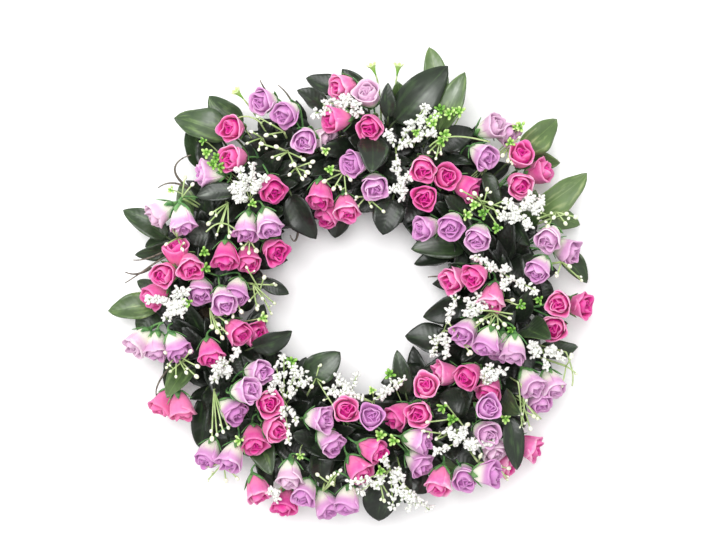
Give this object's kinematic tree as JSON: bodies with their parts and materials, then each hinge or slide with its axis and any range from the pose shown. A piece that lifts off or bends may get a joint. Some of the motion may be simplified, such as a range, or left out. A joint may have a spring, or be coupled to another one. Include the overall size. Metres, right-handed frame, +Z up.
{
  "type": "floral wreath",
  "caption": "Artificial floral wreath: a vine ring dressed with pink and lavender rosebuds, gypsophila, berry sprigs and dark green leaves, lying flat on its back.",
  "frame": {"origin": "centre of the wreath's bounding box, at the surface that its vine ring lies on", "axes": "+Z up, out of the flowered face; +Y towards the top of the wreath as it hangs; +X to its right"},
  "size_m": [0.4461, 0.4334, 0.0926],
  "materials": {
    "vine": "rough dry vine",
    "rosebud_pink": "matte",
    "rosebud_lavender": "matte",
    "gypsophila": "matte",
    "leaf": "satin"
  },
  "bodies": {
    "root": {"vine_ring": "vine", "rosebuds_pink_01": "rosebud_pink", "rosebuds_pink_02": "rosebud_pink", "rosebuds_pink_03": "rosebud_pink", "rosebuds_pink_04": "rosebud_pink", "rosebuds_pink_05": "rosebud_pink", "rosebuds_pink_06": "rosebud_pink", "rosebuds_pink_07": "rosebud_pink", "rosebuds_pink_08": "rosebud_pink", "rosebuds_pink_09": "rosebud_pink", "rosebuds_pink_10": "rosebud_pink", "rosebuds_pink_11": "rosebud_pink", "rosebuds_pink_12": "rosebud_pink", "rosebuds_pink_13": "rosebud_pink", "rosebuds_pink_14": "rosebud_pink", "rosebuds_pink_15": "rosebud_pink", "rosebuds_pink_16": "rosebud_pink", "rosebuds_pink_17": "rosebud_pink", "rosebuds_pink_18": "rosebud_pink", "rosebuds_lavender_01": "rosebud_lavender", "rosebuds_lavender_02": "rosebud_lavender", "rosebuds_lavender_03": "rosebud_lavender", "rosebuds_lavender_04": "rosebud_lavender", "rosebuds_lavender_05": "rosebud_lavender", "rosebuds_lavender_06": "rosebud_lavender", "rosebuds_lavender_07": "rosebud_lavender", "rosebuds_lavender_08": "rosebud_lavender", "rosebuds_lavender_09": "rosebud_lavender", "rosebuds_lavender_10": "rosebud_lavender", "rosebuds_lavender_11": "rosebud_lavender", "rosebuds_lavender_12": "rosebud_lavender", "rosebuds_lavender_13": "rosebud_lavender", "rosebuds_lavender_14": "rosebud_lavender", "rosebuds_lavender_15": "rosebud_lavender", "rosebuds_lavender_16": "rosebud_lavender", "rosebuds_lavender_17": "rosebud_lavender", "rosebuds_lavender_18": "rosebud_lavender", "gypsophila_01": "gypsophila", "gypsophila_02": "gypsophila", "gypsophila_03": "gypsophila", "gypsophila_04": "gypsophila", "gypsophila_05": "gypsophila", "gypsophila_06": "gypsophila", "gypsophila_07": "gypsophila", "gypsophila_08": "gypsophila", "gypsophila_09": "gypsophila", "gypsophila_10": "gypsophila", "gypsophila_11": "gypsophila", "gypsophila_12": "gypsophila", "gypsophila_13": "gypsophila", "foliage_outer_1": "leaf", "foliage_outer_2": "leaf", "foliage_outer_3": "leaf", "foliage_outer_4": "leaf", "foliage_outer_5": "leaf", "foliage_outer_6": "leaf", "foliage_inner_1": "leaf", "foliage_inner_2": "leaf", "foliage_inner_3": "leaf", "foliage_inner_4": "leaf"}
  },
  "joints": []
}
